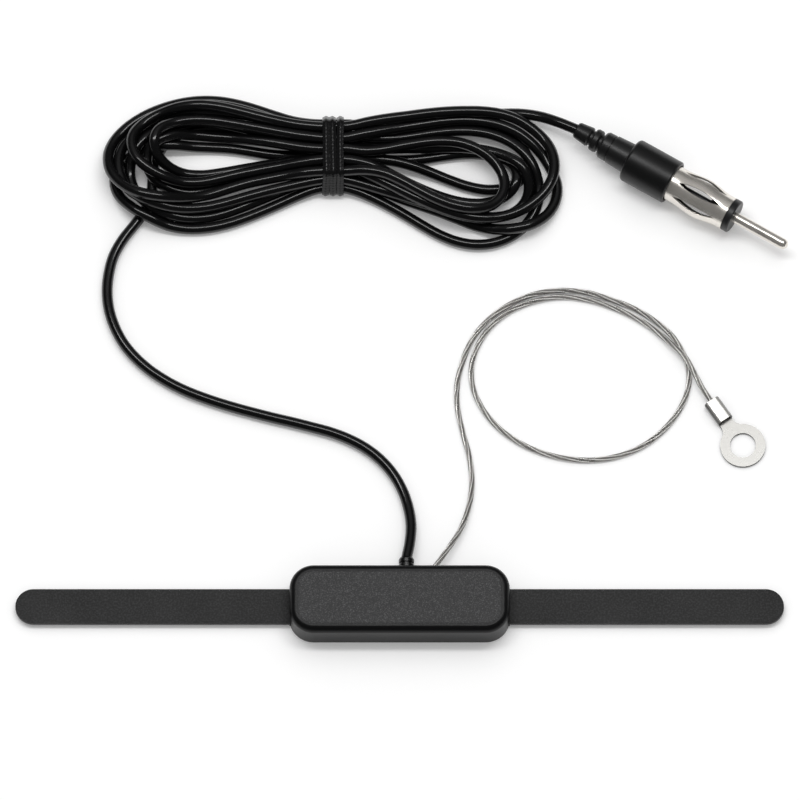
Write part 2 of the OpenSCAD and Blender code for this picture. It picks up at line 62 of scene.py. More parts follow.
# Route of the earth wire from the housing to the crimp, in mm
WIRE_ROUTE = [
    (9, 10, 3.55), (12.6, 15.4, 3.2), (16.8, 22.5, 2.2), (19.2, 29.8, 1.4), (20.1, 37, 0.8),
    (19.4, 44.5, 0.75), (17.6, 51.8, 0.75), (16.1, 59, 0.75), (16, 66.2, 0.75), (17.4, 72.6, 0.75),
    (20.1, 79.3, 0.75), (24.6, 85.2, 0.75), (30.6, 89.8, 0.75), (37.4, 92.8, 0.75), (44.6, 93.9, 0.75),
    (51.8, 93.3, 0.75), (58.6, 91.2, 0.75), (65.2, 88.5, 0.75), (71.2, 84.6, 0.75), (76.2, 79.8, 0.75),
    (79.2, 74.2, 0.75), (80.4, 68.6, 0.75), (79.6, 63, 0.75), (77.2, 57.8, 0.75), (73.2, 52.6, 0.75),
    (67.6, 48, 0.75), (60.8, 45, 0.75), (53.8, 43.8, 0.75), (46.6, 44.2, 0.75), (39.4, 46, 0.75),
    (32.8, 49.2, 0.75), (27.2, 53.6, 0.75), (23, 59, 0.75), (20.4, 65.2, 0.75), (20, 71.6, 0.75),
    (21.8, 77.8, 0.75), (25.6, 83.6, 0.75), (31, 88, 0.75), (37.6, 90.8, 0.75), (44.4, 92, 0.75),
    (51.6, 91.3, 0.75), (58.2, 89.3, 0.75), (64.6, 86.3, 0.75), (70.2, 82.6, 1.1), (74.9, 78.2, 1.9),
    (79, 74, 2.4), (82.3, 68, 2.3), (83.9, 64.8, 2.1), (86.6, 60.8, 1.7)]

# Where the back of the plug's boot is, in mm, and the plug's turn in degrees, as in the CAD source
PLUG_AT = (49.2, 139.4, 6.3)
PLUG_TURN = -30.5
# Turn of the ring terminal on the table, in degrees
TERMINAL_TURN = -55.5
# Where the middle of the tie is, and the nearest to the box that a cable in it can be, in mm
TIE_X = -18.5
TIE_LEAST_Y = 100
# Half of the length of cable that the tie holds straight, in mm
TIE_REACH = 4
# Where each cable lies in the tie: its distance from the box and its height, in mm
TIE_SLOTS = {
    "T5": (139.9, 7.6), "T4": (136.6, 7.6), "T3": (133.3, 7.6), "T2": (130, 7.6), "T1": (126.7, 7.6),
    "M6": (141.5, 5), "M5": (138.2, 5), "M4": (134.9, 5), "M3": (131.6, 5), "M2": (128.3, 5),
    "M1": (125, 5), "B4": (136.6, 2.4), "B3": (133.3, 2.4), "B2": (126.6, 2.4), "B1": (123.4, 2.4)}
# The half turns of the hank in the order of winding, left and right by turns: the layer that each
# starts and ends in, its plan in mm, and the place in the tie that it goes into
HALF_TURNS = [
    (0, 0, [(-71.3, 116.3), (-68.8, 120.5), (-68, 126), (-68.5, 132), (-64.5, 138), (-54, 141.5),
            (-40, 140)], "B4"),
    (0, 1.5, [(0, 139.5), (14, 141.5), (27, 140.4), (34.6, 136), (36, 130), (32.6, 125), (26.6, 123.2),
              (20, 124), (13, 126.6), (7, 128.8), (0, 130.6), (-7, 131.6)], "M3"),
    (3.5, 5, [(-41, 129.9), (-55.5, 127.6), (-64, 128.9), (-69.4, 134.2), (-66, 139.5), (-60, 141.6),
              (-53.5, 142), (-43, 140), (-30, 138)], "T4"),
    (4.5, 1, [(-6, 138.8), (5, 141), (18, 142.8), (25, 142.4), (31, 140.4), (35.6, 137), (39.6, 133.2),
              (43.4, 127), (43.6, 120.5), (41.4, 116), (37.5, 112.8), (30.5, 110.4), (24, 112),
              (16, 115), (8, 118), (-2, 121.6)], "B2"),
    (1.5, 3, [(-42, 119), (-54, 114.8), (-64, 115.2), (-71.5, 119.6), (-75, 126.5), (-73.5, 134),
              (-67, 139.8), (-55, 142.5), (-40, 139.8)], "M4"),
    (4, 2, [(0, 134.8), (8, 134.6), (16, 134.9), (24.5, 133.6), (31.4, 130.6), (35.5, 126.6), (36.4, 122),
            (34, 117.8), (28, 115.2), (20, 115), (8, 118)], "M1"),
    (3, 3, [(-43, 120.2), (-58, 116.6), (-70, 118.2), (-77.6, 125.5), (-77.6, 134), (-70.5, 141.8),
            (-57, 144.8), (-40, 142.5)], "M5"),
    (3, 1.2, [(-9, 136.2), (3, 138.4), (15, 139.8), (22, 139.6), (29.5, 137.4), (34.5, 133.2), (38, 127),
              (38.8, 121.5), (37.8, 117.4), (34.8, 112.6), (29.6, 108.8), (24.4, 107.2), (18, 107.4),
              (12, 109.5), (5, 113.7), (-2, 118)], "B1"),
    (1.3, 1, [(-38, 117), (-53, 112), (-68, 113.8), (-77.5, 120.5), (-79.5, 128), (-72, 134.6),
              (-58, 135.6), (-46, 135.6), (-36, 133.5)], "B3"),
    (1, 4, [(0, 131.8), (8, 132.6), (14, 133.6), (20, 134), (27, 132.8), (32, 129.8), (33.4, 125.4),
            (30.6, 121.4), (24.5, 119.4), (17, 119.6), (12, 121), (4, 124.4), (-5, 127.4)], "T2"),
    (6, 6, [(-43, 127.5), (-58, 124.4), (-69.5, 127.2), (-74.9, 134.3), (-73, 140), (-68, 143.6),
            (-62, 145.4), (-55, 145.7), (-47, 144.4), (-34, 141.2)], "T5"),
    (6, 3, [(-6, 141.6), (5, 143.4), (13, 144.3), (20, 144.6), (27.5, 144.6), (34.4, 142.4), (39.3, 138.6),
            (42.2, 133.8), (43.2, 128.7), (41.8, 124), (38.4, 119.6), (33, 116), (27, 113.9), (20, 113.5),
            (13, 115.3), (4, 119.2)], "M2"),
    (2.5, 4.5, [(-42, 126), (-54, 122.8), (-64, 123), (-70.5, 128.5), (-69.5, 134.5), (-60, 138.4),
                (-48, 138), (-36, 136)], "T3"),
    (5, 5, [(-9, 131.8), (-2, 133.7), (4, 135), (11, 135.8), (18, 134.9), (24.4, 131.6), (28.3, 127.2),
            (29.8, 122.7), (28.3, 118.9), (24.6, 116), (19.8, 115), (14.6, 115.9), (8, 118.7), (1, 122.8),
            (-8, 126.9)], "T1"),
    (5, 3.5, [(-42, 124.5), (-58, 119.4), (-72.5, 119.4), (-80.6, 128), (-80, 136.6), (-75.8, 141.4),
              (-70.4, 145), (-63.4, 148.2), (-55, 149.6), (-47, 149), (-36, 145.6)], "M6"),
]
# Height of the lowest layer of the hank before it settles, and the rise from one layer to the next, in mm
LAYER_START = 1.6
LAYER_RISE = 3.1

# The housing's grained panel, in mm: half its length and width, its corner and the height it starts at; the
# panel's colour holds a painted sheen
PANEL_HALF_X = 28.5
PANEL_HALF_Y = 7.95
PANEL_CORNER = 4.6
PANEL_LEAST_Z = 9.6
# The sprung barrel along the plug, in mm: the middle of its bulge, half the bulge and where it ends
BULGE_MIDDLE = 40.2
BULGE_HALF = 7.2
BARREL_END = 49
# The barrel's bore at its ends, and how much wider it is in the bulge, both as radii in mm; within the bore
# the plate is painted dark as shade
BORE_RADIUS = 4.5
BULGE_GROWS = 0.8
# Height of the choke's winding, in mm
WINDING_FROM = 3.7
WINDING_TO = 6.1

# How much the white table shines by itself for the camera and in reflections
FLOOR_GLOW = 0.11
# Half the side of the table, in metres
TABLE_HALF = 3.0
# Place that the camera aims at, and the one that the softbox aims at, in metres
CAMERA_AIM = Vector((0.0001, 0.0618, 0))
SOFTBOX_AIM = Vector((0, 0.07, 0))
# The softbox stands just above where flat tops mirror the camera, so cables carry it as a thin line
SOFTBOX_ELEVATION = math.radians(79)
SOFTBOX_DISTANCE = 1.05
SOFTBOX_SIZE = (1.0, 0.13)
# The bright part of the ceiling: its elevation, and the cosines between which it fades in
CEILING_ELEVATION = math.radians(65)
CEILING_FADE = (0.75, 0.95)
# Light of the rest of the room on matt surfaces and in reflections, and the ceiling's in reflections
ROOM_LIGHT = 0.49
ROOM_REFLECTED = 0.05
CEILING_REFLECTED = 0.22


def length_field(name, description, default):
    """A field for a length in metres, shown to a hundredth of a millimetre"""
    return bpy.props.FloatProperty(
        name=name, description=description, default=default, unit="LENGTH", precision=5)


def colour_field(name, description, default):
    """A field for a base colour"""
    return bpy.props.FloatVectorProperty(
        name=name, description=description, default=default, subtype="COLOR")


class CableSizes(bpy.types.PropertyGroup):
    """Sizes of the coaxial cable and how its hank is settled"""

    diameter: length_field("Cable Diameter", "Outer diameter of the coaxial cable", 3.05 * MM)
    station: length_field("Station Spacing", "Distance between the points that settle", 1.8 * MM)
    falls: bpy.props.IntProperty(
        name="Falls", description="Rounds in which the stacked turns sink onto each other", default=3000)
    length: length_field("Cable Length", "Length of the cable from the grommet to the plug", 2.06)


class WireSizes(bpy.types.PropertyGroup):
    """Sizes of the stranded earth wire"""

    diameter: length_field("Wire Diameter", "Outer diameter of the twisted strands together", 1.5 * MM)
    strands: bpy.props.IntProperty(
        name="Strands", description="Strands in the outer layer of the wire", default=8, min=5, max=24)
    pitch: length_field("Lay Length", "Length of wire in which a strand goes once round", 34 * MM)
    length: length_field("Wire Length", "Length of the wire from the housing to its terminal", 0.33)


class TieSizes(bpy.types.PropertyGroup):
    """Sizes of the twist tie round the hank"""

    wraps: bpy.props.IntProperty(name="Wraps", description="Times that the tie goes round", default=3)
    width: length_field("Tie Width", "Width of one wrap", 2 * MM)
    thickness: length_field("Tie Thickness", "Thickness of one wrap", 0.9 * MM)


class Finishes(bpy.types.PropertyGroup):
    """Base colours of what shows most"""

    jacket: colour_field("Cable Jacket", "Colour of the coaxial cable's jacket", (0.003, 0.003, 0.0032))
    # The grained top's colour is partly the plastic's black and partly a painted sheen, so it is far lighter
    # than the edge
    panel: colour_field("Housing Panel", "Colour of the housing's grained top", (0.047, 0.047, 0.048))
    gloss_band: colour_field("Housing Edge", "Colour of the housing's smooth edge", (0.004, 0.004, 0.0043))
    strip: colour_field("Strips", "Colour of the vinyl strips", (0.0066, 0.0066, 0.007))
    nickel: colour_field("Nickel Plate", "Colour of the plug's plated metal", (0.86, 0.82, 0.76))
    tin: colour_field("Tin Plate", "Colour of the ring terminal", (0.74, 0.73, 0.7))


class StudioSettings(bpy.types.PropertyGroup):
    """Camera and lamps"""

    elevation: bpy.props.FloatProperty(
        name="Elevation", description="Angle of the camera above the table", subtype="ANGLE",
        default=math.radians(70))
    distance: length_field("Distance", "Distance from the camera to the middle of the table", 1.2)
    view_width: length_field("View Width", "Width of table that the picture takes in", 222.2 * MM)
    world_light: bpy.props.FloatProperty(
        name="Ceiling Light", description="Strength of the light from the room's ceiling", default=0.95)
    softbox: bpy.props.FloatProperty(
        name="Softbox", description="Power of the large soft lamp over the object",
        default=4.0, unit="POWER")


class Wire:
    """A node's output that Python sums can be written with: each sum adds its Math node"""

    def __init__(self, graph, socket):
        self.graph = graph
        self.socket = socket

    def maths(self, operation, *values):
        return self.graph.add(self.graph.maths_node, {"operation": operation}, dict(enumerate(values)))

    def __add__(self, other):
        return self.maths("ADD", self, other)

    def __radd__(self, other):
        return self.maths("ADD", other, self)

    def __sub__(self, other):
        return self.maths("SUBTRACT", self, other)

    def __rsub__(self, other):
        return self.maths("SUBTRACT", other, self)

    def __mul__(self, other):
        return self.maths("MULTIPLY", self, other)

    def __rmul__(self, other):
        return self.maths("MULTIPLY", other, self)

    def __truediv__(self, other):
        return self.maths("DIVIDE", self, other)

    def __rtruediv__(self, other):
        return self.maths("DIVIDE", other, self)

    def __pow__(self, other):
        return self.maths("POWER", self, other)

    def __gt__(self, other):
        return self.maths("GREATER_THAN", self, other)

    def __lt__(self, other):
        return self.maths("LESS_THAN", self, other)

    def __abs__(self):
        return self.maths("ABSOLUTE", self)

    def most(self, other):
        return self.maths("MAXIMUM", self, other)

    def least(self, other):
        return self.maths("MINIMUM", self, other)

    def sine(self):
        return self.maths("SINE", self)

    def cosine(self):
        return self.maths("COSINE", self)

    def root(self):
        return self.maths("SQRT", self)


class Graph:
    """A node tree that is built by one method"""

    def __init__(self, tree):
        self.tree = tree
        self.maths_node = "ShaderNodeMath"

    def add(self, kind, settings=None, sockets=None, output=0):
        """Adds a node: its settings first, then what its sockets hold or are linked to"""
        node = self.tree.nodes.new(kind)
        for name, value in (settings or {}).items():
            if name == "stops":
                self.set_stops(node, value)
            else:
                setattr(node, name, value)
        for name, value in (sockets or {}).items():
            self.feed(node.inputs[name], value)
        if output is None:
            return node
        return Wire(self, node.outputs[output])

    def feed(self, socket, value):
        if isinstance(value, Wire):
            self.tree.links.new(value.socket, socket)
        elif isinstance(value, (list, tuple)) and value and isinstance(value[0], Wire):
            for item in value:
                self.tree.links.new(item.socket, socket)
        else:
            socket.default_value = value

    def set_stops(self, node, stops):
        elements = node.color_ramp.elements
        while len(elements) < len(stops):
            elements.new(0.5)
        for element, (place, shade) in zip(elements, stops):
            element.position = place
            element.color = (shade, shade, shade, 1)


class Finish(Graph):
    """A procedural material: its maps are built here, then laid into one Principled shader"""

    def __init__(self, name):
        self.material = bpy.data.materials.new(name)
        self.material.use_nodes = True
        super().__init__(self.material.node_tree)
        self.tree.nodes.clear()
        self.place = self.add("ShaderNodeTexCoord", output="Object")

    def axes(self):
        """The place on the object as three numbers in millimetres"""
        node = self.add("ShaderNodeSeparateXYZ", sockets={0: self.place}, output=None)
        return [Wire(self, socket) * 1000 for socket in node.outputs]

    def upright(self):
        """1 on walls that stand up, 0 on flat tops, as a mask for painted shade on upright walls"""
        facing = self.add("ShaderNodeNewGeometry", output="Normal")
        height = self.add("ShaderNodeSeparateXYZ", sockets={0: facing}, output="Z")
        return self.ramp(abs(height), [(0.5, 1), (0.85, 0)])

    def stretched(self, scale, turn):
        """Places scaled by axis, after a turn about Z"""
        return self.add("ShaderNodeMapping", {"vector_type": "TEXTURE"}, {
            "Vector": self.place, "Rotation": (0, 0, turn), "Scale": scale})

    def noise(self, size_mm, detail=2.0, roughness=0.5, vector=None):
        """Noise whose features are about so many millimetres across"""
        return self.add("ShaderNodeTexNoise", {"noise_dimensions": "3D"}, {
            "Vector": vector or self.place, "Scale": 1000 / size_mm, "Detail": detail,
            "Roughness": roughness})

    def speckle(self, size_mm, low, high):
        """Noise spread between two stops, from 0 to 1"""
        return self.ramp(self.noise(size_mm), [(low, 0), (high, 1)])

    def ramp(self, value, stops):
        return self.add("ShaderNodeValToRGB", {"stops": stops}, {0: value})

    def mix(self, amount, first, second):
        """A colour between two colours"""
        return self.add("ShaderNodeMix", {"data_type": "RGBA"}, {
            0: amount, 6: self.colour(first), 7: self.colour(second)}, output=2)

    def colour(self, value):
        return value if isinstance(value, Wire) else (*value[:3], 1)

    def shaded(self, value, colour, depth):
        """A colour that darkens and lightens by a share of itself with a value from 0 to 1"""
        dark = [c * (1 - depth) for c in colour]
        light = [min(1, c * (1 + depth)) for c in colour]
        return self.mix(value, dark, light)

    def bump(self, height, distance_mm=1.0):
        """A surface raised by so many millimetres where the height is 1"""
        return self.add("ShaderNodeBump", sockets={
            "Height": height, "Distance": distance_mm * MM, "Strength": 1.0}, output="Normal")

    def lay(self, colour, roughness, metallic=0.0, *, normal, coat=0.0, specular=0.5):
        """Lays the maps into the shader and gives the material"""
        shader = self.add("ShaderNodeBsdfPrincipled", sockets={
            "Base Color": self.colour(colour), "Roughness": roughness, "Metallic": metallic,
            "Coat Weight": coat, "Coat Roughness": 0.1, "Specular IOR Level": specular, "Normal": normal})
        self.add("ShaderNodeOutputMaterial", sockets={"Surface": shader}, output=None)
        return self.material


class Solid(Graph):
    """A Geometry Nodes tree with named inputs, run once on an object"""

    def __init__(self, name, inputs):
        tree = bpy.data.node_groups.new(name, "GeometryNodeTree")
        super().__init__(tree)
        tree.interface.new_socket("Geometry", in_out="INPUT", socket_type="NodeSocketGeometry")
        for label, kind in inputs.items():
            tree.interface.new_socket(label, in_out="INPUT", socket_type="NodeSocket" + kind)
        tree.interface.new_socket("Geometry", in_out="OUTPUT", socket_type="NodeSocketGeometry")
        self.source = self.add("NodeGroupInput", output=None)

    def given(self, label):
        return Wire(self, self.source.outputs[label])

    def end(self, swept):
        """Ends the tree with what was swept: shaded smooth, made real and given the material"""
        smooth = self.add("GeometryNodeSetShadeSmooth", sockets={"Geometry": swept})
        real = self.add("GeometryNodeRealizeInstances", sockets={"Geometry": smooth})
        dressed = self.add("GeometryNodeSetMaterial", sockets={
            "Geometry": real, "Material": self.given("Material")})
        self.add("NodeGroupOutput", sockets={"Geometry": dressed}, output=None)

    def run(self, obj, values, name):
        """Runs the tree on an object with the given inputs, and leaves a plain mesh"""
        modifier = obj.modifiers.new("build", "NODES")
        modifier.node_group = self.tree
        for item in self.tree.interface.items_tree:
            if item.item_type == "SOCKET" and item.in_out == "INPUT" and item.name in values:
                modifier[item.identifier] = values[item.name]
        depsgraph = bpy.context.evaluated_depsgraph_get()
        depsgraph.update()
        mesh = bpy.data.meshes.new_from_object(obj.evaluated_get(depsgraph), depsgraph=depsgraph)
        if not mesh.vertices:
            raise RuntimeError(f"{name}: the node tree gave no mesh")
        obj.modifiers.remove(modifier)
        mesh.name = name
        bpy.data.objects.remove(obj)
        piece = bpy.data.objects.new(name, mesh)
        bpy.context.scene.collection.objects.link(piece)
        return piece


def spline_through(points, spacing):
    """Centripetal spline through the points, at an even spacing"""
    p = np.array(points, float)
    p = np.vstack([2 * p[0] - p[1], p, 2 * p[-1] - p[-2]])
    fine = []
    for a, b, c, d in zip(p[:-3], p[1:-2], p[2:-1], p[3:]):
        t1 = max(np.linalg.norm(b - a), 1e-6) ** 0.5
        t2 = t1 + max(np.linalg.norm(c - b), 1e-6) ** 0.5
        t3 = t2 + max(np.linalg.norm(d - c), 1e-6) ** 0.5
        for t in np.linspace(t1, t2, 24, endpoint=False):
            a1 = (t1 - t) / t1 * a + t / t1 * b
            a2 = (t2 - t) / (t2 - t1) * b + (t - t1) / (t2 - t1) * c
            a3 = (t3 - t) / (t3 - t2) * c + (t - t2) / (t3 - t2) * d
            b1 = (t2 - t) / t2 * a1 + t / t2 * a2
            b2 = (t3 - t) / (t3 - t1) * a2 + (t - t1) / (t3 - t1) * a3
            fine.append((t2 - t) / (t2 - t1) * b1 + (t - t1) / (t2 - t1) * b2)
    fine = np.array([*fine, p[-2]])
    run = np.r_[0, np.cumsum(np.linalg.norm(np.diff(fine, axis=0), axis=1))]
    places = np.linspace(0, run[-1], int(round(run[-1] / spacing)) + 1)
    return np.stack([np.interp(places, run, fine[:, k]) for k in range(p.shape[1])], axis=1)


def bends(values):
    """How far each point of a run stands off the middle of its neighbours"""
    off = np.zeros_like(values)
    off[1:-1] = (values[:-2] + values[2:]) / 2 - values[1:-1]
    return off


def fair(values, free, rounds, stiffness, pull):
    """Takes the kinks out of a run of points, with a weak pull to where they were"""
    home = values.copy()
    values = values.copy()
    for _ in range(rounds):
        values[free] -= stiffness * bends(bends(values))[free]
        values[free] += pull * (home[free] - values[free])
    return values


def hank_guide():
    """Plan points of the whole cable in order, with the height that each starts at, in mm"""
    guide = list(LEAD_ROUTE)
    for first, last, plan, slot in HALF_TURNS:
        for i, (x, y) in enumerate(plan):
            layer = first + (last - first) * i / (len(plan) - 1)
            guide.append((x, y, LAYER_START + LAYER_RISE * layer))
        y, z = TIE_SLOTS[slot]
        heading = 1 if plan[-1][0] < TIE_X else -1
        guide += [(TIE_X - TIE_REACH * heading, y, z), (TIE_X + TIE_REACH * heading, y, z)]
    return guide + TAIL_LANE + TAIL_ROUTE


def start_path(spacing):
    """The cable's stations before they settle, with those that are held marked"""
    guide = hank_guide()
    fine_step = 0.4
    # Points of the fine line in which the next guide point is looked for
    window = 250
    # How near to the middle of the tie a station is held, in mm
    held_reach = 3.6
    fine = spline_through([(x, y) for x, y, z in guide], fine_step)
    places = []
    last = 0
    for x, y, z in guide:
        ahead = fine[last:last + window]
        last += int(np.argmin(np.hypot(ahead[:, 0] - x, ahead[:, 1] - y)))
        places.append(last)
    at = np.linspace(0, len(fine) - 1, int(round(len(fine) * fine_step / spacing)) + 1)
    path = np.stack([np.interp(at, np.arange(len(fine)), fine[:, k]) for k in range(2)]
                    + [np.interp(at, places, [z for x, y, z in guide])], axis=1)
    held = (at <= places[len(LEAD_ROUTE) - 1]) | (at >= places[-len(TAIL_ROUTE)])
    held |= np.abs(path[:, 0] - TIE_X) < held_reach
    return path, held


def sink(path, held, diameter, spacing, falls):
    """Lets the stacked turns sink onto each other, each still over the ones it was laid on"""
    fall = 0.02
    tension = 0.05
    stiffness = 0.45
    # Share of a height error that one round puts right
    share = 0.8
    count = len(path)
    start = path[:, 2].copy()
    path[:, :2] = fair(path[:, :2], ~held, rounds=400, stiffness=0.5, pull=0.008)
    z = fair(path[:, 2], ~held, rounds=60, stiffness=0.5, pull=0.02)
    order = np.arange(count)
    apart = ((path[:, None, :2] - path[None, :, :2]) ** 2).sum(-1)
    own = np.abs(order[:, None] - order[None]) <= math.ceil(2.5 * diameter / spacing)
    upper, lower = np.nonzero(np.triu((apart < diameter ** 2) & ~own))
    need = np.sqrt(diameter ** 2 - apart[upper, lower])
    swap = start[upper] < start[lower]
    upper, lower = np.where(swap, lower, upper), np.where(swap, upper, lower)
    free = ~held
    for _ in range(falls):
        z[free] -= fall
        off = bends(z)
        z[free] += tension * off[free] - stiffness * bends(off)[free]
        short = need - (z[upper] - z[lower])
        hit = short > 0
        over, under, gap = upper[hit], lower[hit], short[hit]
        stuck = held[under] | (z[under] < diameter / 2 + 0.05)
        lift = np.zeros(count)
        drop = np.zeros(count)
        np.maximum.at(lift, over, gap * np.where(stuck, 1, 0.5))
        np.maximum.at(drop, under, gap * np.where(held[over], 1, 0.5))
        z[free] += share * (lift - drop)[free]
        z[free] = np.maximum(z[free], diameter / 2)
    path[:, 2] = z
    return path


def press_apart(path, held, diameter, spacing, rounds=120):
    """Moves apart in space what still touches, sideways as well as up"""
    home = path.copy()
    free = ~held
    order = np.arange(len(path))
    own = np.abs(order[:, None] - order[None]) <= math.ceil(2.2 * diameter / spacing)
    for turn in range(rounds):
        if turn % 8 == 0:
            apart = ((path[:, None] - path[None]) ** 2).sum(-1)
            first, second = np.nonzero(np.triu((apart < (1.5 * diameter) ** 2) & ~own))
        between = path[first] - path[second]
        distance = np.sqrt((between ** 2).sum(1))
        hit = distance < diameter
        push = ((diameter - distance[hit]) / distance[hit] / 2)[:, None] * between[hit]
        move = np.zeros_like(path)
        count = np.zeros(len(path))
        for ends, sign in ((first[hit], 1), (second[hit], -1)):
            np.add.at(move, ends, sign * push)
            np.add.at(count, ends, 1)
        path[free] += (move / np.maximum(count, 1)[:, None])[free]
        path[free, :2] += 0.02 * (home[free, :2] - path[free, :2])
        path = fair(path, free, rounds=1, stiffness=0.3, pull=0)
        path[free, 2] = np.maximum(path[free, 2], diameter / 2)
    return path


def hank_path(sizes):
    """Centreline of the whole coaxial cable, in mm"""
    diameter = sizes.diameter / MM
    spacing = sizes.station / MM
    path, held = start_path(spacing)
    path = sink(path, held, diameter, spacing, sizes.falls)
    return press_apart(path, held, diameter, spacing)


def smooth_curve(name, path, diameter, material):
    """A round cord on one open Bezier spline through the points"""
    curve = bpy.data.curves.new(name, "CURVE")
    curve.dimensions = "3D"
    curve.resolution_u = 4
    curve.bevel_depth = diameter / 2
    curve.bevel_resolution = 4
    curve.use_fill_caps = True
    spline = curve.splines.new("BEZIER")
    spline.bezier_points.add(len(path) - 1)
    points = [Vector(p) for p in path]
    for i, (knot, place) in enumerate(zip(spline.bezier_points, points)):
        back = points[max(i - 1, 0)]
        ahead = points[min(i + 1, len(points) - 1)]
        along = (ahead - back).normalized()
        knot.co = place
        knot.handle_left = place - along * (place - back).length / 3
        knot.handle_right = place + along * (ahead - place).length / 3
    curve.materials.append(material)
    cord = bpy.data.objects.new(name, curve)
    bpy.context.scene.collection.objects.link(cord)
    return cord


def polyline(name, points):
    """A mesh of edges that a node tree sweeps along"""
    mesh = bpy.data.meshes.new(name)
    mesh.from_pydata([tuple(p) for p in points], [(i, i + 1) for i in range(len(points) - 1)], [])
    line = bpy.data.objects.new(name, mesh)
    bpy.context.scene.collection.objects.link(line)
    return line


def strand_tree():
    """Twisted strands round a line: each is the line moved out and swept as a thin round rod"""
    tree = Solid("twisted_strands", {
        "Strands": "Int", "Wire Radius": "Float", "Lay Length": "Float", "Material": "Material"})
    count = tree.given("Strands")
    wire_r = tree.given("Wire Radius")
    # A rod that just touches its neighbours in the ring
    rod_share = (math.pi / count).sine()
    rod_r = wire_r * rod_share / (1 + rod_share)
    ring_r = wire_r - rod_r
    line = tree.add("GeometryNodeMeshToCurve", sockets={0: tree.given("Geometry")})
    line = tree.add("GeometryNodeSetCurveNormal", {"mode": "Z_UP"}, {"Curve": line})
    copies = tree.add("GeometryNodeDuplicateElements", {"domain": "SPLINE"}, {
        "Geometry": line, "Amount": count}, output=None)
    which = Wire(tree, copies.outputs["Duplicate Index"])
    run = tree.add("GeometryNodeSplineParameter", output="Length")
    wander = tree.add("ShaderNodeTexNoise", {"noise_dimensions": "4D"}, {
        "Vector": tree.add("GeometryNodeInputPosition"), "W": which * 3.7, "Scale": 160.0, "Detail": 1.0})
    angle = 2 * math.pi * (which / count + run / tree.given("Lay Length")) + (wander - 0.5) * 1.1
    reach = ring_r * (0.94 + 0.16 * wander)
    normal = tree.add("GeometryNodeInputNormal")
    tangent = tree.add("GeometryNodeInputTangent")
    side = tree.add("ShaderNodeVectorMath", {"operation": "CROSS_PRODUCT"}, {0: tangent, 1: normal})
    parts = [
        tree.add("ShaderNodeVectorMath", {"operation": "SCALE"}, {0: axis, "Scale": reach * swing})
        for axis, swing in ((normal, angle.cosine()), (side, angle.sine()))]
    shift = tree.add("ShaderNodeVectorMath", {"operation": "ADD"}, {0: parts[0], 1: parts[1]})
    # Every other strand is flagged for painted shade, which stands in for the dark lines between strands
    shade_flag = which.maths("MODULO", which, 2.0)
    strands_marked_for_shade = tree.add("GeometryNodeStoreNamedAttribute", {"data_type": "FLOAT", "domain": "POINT"}, {
        "Geometry": Wire(tree, copies.outputs["Geometry"]), "Name": "strand_tone", "Value": shade_flag})
    moved = tree.add("GeometryNodeSetPosition", sockets={"Geometry": strands_marked_for_shade, "Offset": shift})
    rod = tree.add("GeometryNodeCurvePrimitiveCircle", sockets={"Resolution": 6, "Radius": rod_r})
    core = tree.add("GeometryNodeCurvePrimitiveCircle", sockets={
        "Resolution": 8, "Radius": ring_r - rod_r * 0.4})
    swept = [
        tree.add("GeometryNodeCurveToMesh", sockets={"Curve": c, "Profile Curve": p, "Fill Caps": True})
        for c, p in ((moved, rod), (line, core))]
    joined = tree.add("GeometryNodeJoinGeometry", sockets={"Geometry": swept})
    tree.end(joined)
    return tree


def tie_tree():
    """Wraps side by side: a closed line is copied along X and swept as a flat ribbon with a round core"""
    tree = Solid("tie_wraps", {
        "Wraps": "Int", "Width": "Float", "Thickness": "Float", "Material": "Material"})
    count = tree.given("Wraps")
    width = tree.given("Width")
    line = tree.add("GeometryNodeMeshToCurve", sockets={0: tree.given("Geometry")})
    line = tree.add("GeometryNodeSetCurveNormal", {"mode": "MINIMUM_TWIST"}, {"Curve": line})
    copies = tree.add("GeometryNodeDuplicateElements", {"domain": "SPLINE"}, {
        "Geometry": line, "Amount": count}, output=None)
    which = Wire(tree, copies.outputs["Duplicate Index"])
    sway = tree.add("ShaderNodeTexNoise", {"noise_dimensions": "4D"}, {
        "Vector": tree.add("GeometryNodeInputPosition"), "W": which * 5.3 + 2, "Scale": 90.0, "Detail": 0.0})
    across = (which - (count - 1) / 2) * width * 0.98 + (sway - 0.5) * width * 0.35
    shift = tree.add("ShaderNodeCombineXYZ", sockets={0: across})
    moved = tree.add("GeometryNodeSetPosition", sockets={
        "Geometry": Wire(tree, copies.outputs["Geometry"]), "Offset": shift})
    ring = tree.add("GeometryNodeCurvePrimitiveCircle", sockets={"Resolution": 20, "Radius": 1.0})
    place = tree.add("ShaderNodeSeparateXYZ", sockets={
        0: tree.add("GeometryNodeInputPosition")}, output=None)
    u = Wire(tree, place.outputs[0])
    v = Wire(tree, place.outputs[1])
    half_w = width / 2
    half_t = tree.given("Thickness") / 2
    # Thin at its edges and full over the wire in its middle
    fullness = 0.4 + 0.6 * (1 - (abs(u) * 1.6).least(1) ** 2)
    shape = tree.add("ShaderNodeCombineXYZ", sockets={0: u * half_w, 1: v * half_t * fullness})
    profile = tree.add("GeometryNodeSetPosition", sockets={"Geometry": ring, "Position": shape})
    swept = tree.add("GeometryNodeCurveToMesh", sockets={"Curve": moved, "Profile Curve": profile})
    tree.end(swept)
    return tree


def outline_round(points, reach):
    """The closed line that a ribbon takes when it is pulled tight round some circles in a plane"""
    turns = np.linspace(0, 2 * math.pi, 360, endpoint=False)
    aim = np.stack([np.cos(turns), np.sin(turns)], axis=1)
    support = (points @ aim.T).argmax(axis=0)
    line = points[support] + reach * aim
    closed = np.vstack([line, line[:1]])
    run = np.r_[0, np.cumsum(np.linalg.norm(np.diff(closed, axis=0), axis=1))]
    places = np.linspace(0, run[-1], 96, endpoint=False)
    return np.stack([np.interp(places, run, closed[:, k]) for k in range(2)], axis=1)


